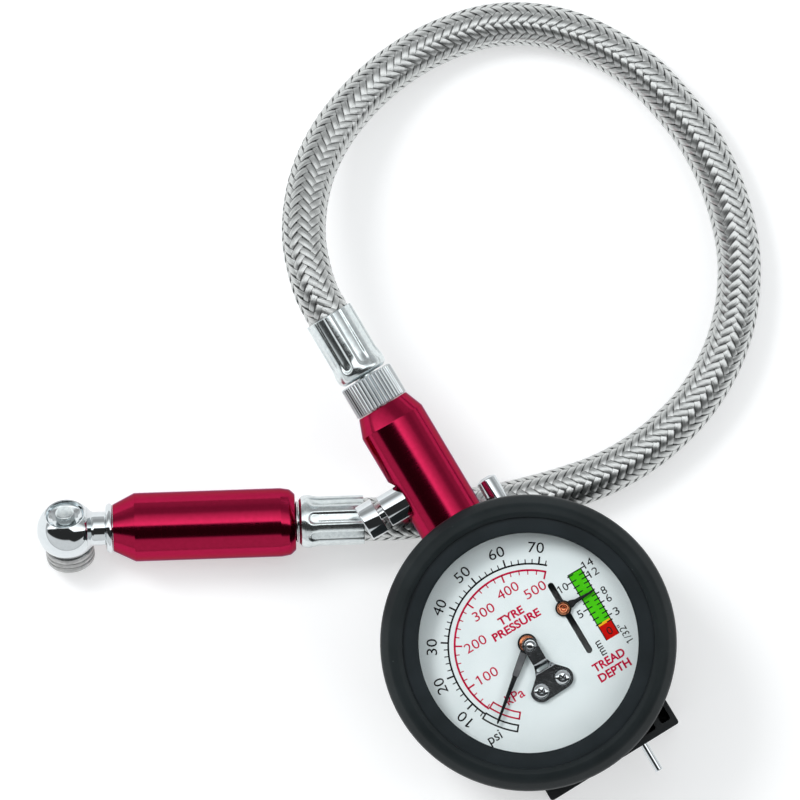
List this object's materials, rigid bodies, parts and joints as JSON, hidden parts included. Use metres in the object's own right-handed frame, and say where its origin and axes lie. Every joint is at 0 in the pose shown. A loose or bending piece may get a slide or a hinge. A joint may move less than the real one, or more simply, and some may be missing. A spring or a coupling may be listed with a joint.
{
  "type": "tyre pressure and tread depth gauge",
  "caption": "Dial gauge for tyre pressure and tread depth in a rubber boot, with a handle, bleed button, braided hose and swivel ball chuck.",
  "frame": {"origin": "on the flat back of the tread housing, behind the centre of the dial", "axes": "+Z out of the dial towards the reader, +Y along the handle away from the dial, +X to the right of the dial"},
  "size_m": [0.2001, 0.1904, 0.041],
  "materials": {
    "rubber": "matt moulded black rubber",
    "black_plastic": "matt moulded black plastic",
    "black_steel": "satin black paint on steel",
    "black_paint": "matt black paint on sheet metal",
    "dial_print": "white dial with printed scales",
    "window": "clear acrylic window",
    "red_anodised": "bright polished red anodising",
    "chrome": "polished chrome plate",
    "zinc": "bright zinc plate",
    "steel": "plain steel",
    "brass": "machined brass",
    "copper": "bright copper",
    "braid": "braided stainless steel wire",
    "seal": "black nitrile rubber"
  },
  "bodies": {
    "gauge_body": {"tread_housing": "black_plastic", "case_cup": "black_steel", "rubber_boot": "rubber", "bezel_ring": "black_steel", "lens": "window", "dial_spacer": "black_plastic", "dial_plate": "dial_print", "pointer_bridge": "chrome", "pivot_bearing": "chrome", "movement_base": "brass", "movement_top_plate": "brass", "hairspring": "steel", "bourdon_socket": "brass", "bourdon_tube": "brass", "bourdon_tip": "brass", "bourdon_link": "steel", "handle_body": "red_anodised", "bleed_valve_body": "chrome", "bleed_spring": "steel", "hose_stem": "zinc", "handle_ferrule": "zinc", "braided_hose": "braid", "chuck_ferrule": "zinc", "chuck_hose_stem": "zinc", "chuck_sleeve": "red_anodised", "case_screw_1": "zinc", "case_screw_2": "zinc", "case_screw_3": "zinc", "case_screw_4": "zinc", "bridge_screw_1": "chrome", "movement_pillar_1": "brass", "bridge_screw_2": "chrome", "movement_pillar_2": "brass"},
    "tread_rod": {"probe_pin": "chrome", "rod_rack": "steel", "thumb_button": "chrome"},
    "depth_pinion": {"rack_pinion": "brass"},
    "depth_slider": {"tread_slider": "steel", "tread_pointer": "black_paint", "slider_rivet": "copper"},
    "pressure_hand": {"pressure_pointer": "black_paint", "pointer_bush": "copper", "pointer_arbor": "steel"},
    "movement_sector": {"sector_gear": "brass"},
    "bleed_plunger": {"bleed_button": "chrome"},
    "hose_nut": {"knurled_nut": "zinc"},
    "chuck_head": {"swivel_neck": "chrome", "chuck_ball": "chrome", "depressor_pin": "zinc", "valve_seal": "seal", "chuck_collar": "zinc"}
  },
  "joints": [
    {"name": "pinion_turn", "type": "hinge", "parent": "gauge_body", "child": "depth_pinion", "pos_m": [0, -0.012, 0.0096], "axis": [1, 0, 0], "range_deg": [-141.3, 68.7]},
    {"name": "rod_slide", "type": "slide", "parent": "gauge_body", "child": "tread_rod", "axis": [0, -1, 0], "range_m": [-0.0074, 0.0036]},
    {"name": "slider_travel", "type": "slide", "parent": "gauge_body", "child": "depth_slider", "axis": [0, 1, 0], "range_m": [-0.0111, 0.0054]},
    {"name": "sector_turn", "type": "hinge", "parent": "gauge_body", "child": "movement_sector", "pos_m": [-0.0095, -0.01, 0.0276], "axis": [0, 0, 1], "range_deg": [0, 16.9], "stiffness_Nm_per_rad": 0.002},
    {"name": "hand_turn", "type": "hinge", "parent": "gauge_body", "child": "pressure_hand", "pos_m": [0, -0.0008, 0.034], "axis": [0, 0, -1], "range_deg": [0, 170]},
    {"name": "bleed_press", "type": "slide", "parent": "gauge_body", "child": "bleed_plunger", "axis": [1, 0, 0], "range_m": [0, 0.0011], "stiffness_N_per_m": 300, "springref_m": -0.006, "deforming": ["bleed_spring"]},
    {"name": "nut_turn", "type": "hinge", "parent": "gauge_body", "child": "hose_nut", "pos_m": [-0.001, 0.0735, 0.028], "axis": [0, 1, 0], "continuous": true},
    {"name": "chuck_swivel", "type": "hinge", "parent": "gauge_body", "child": "chuck_head", "pos_m": [-0.0741, 0.0774, 0.0111], "axis": [-0.8759, 0.4825, 0], "continuous": true}
  ],
  "couplings": [
    {"joint": "pinion_turn", "follows": "rod_slide", "rad_per_m": 333.33},
    {"joint": "slider_travel", "follows": "rod_slide", "ratio": 1.5},
    {"joint": "hand_turn", "follows": "sector_turn", "ratio": 10}
  ]
}
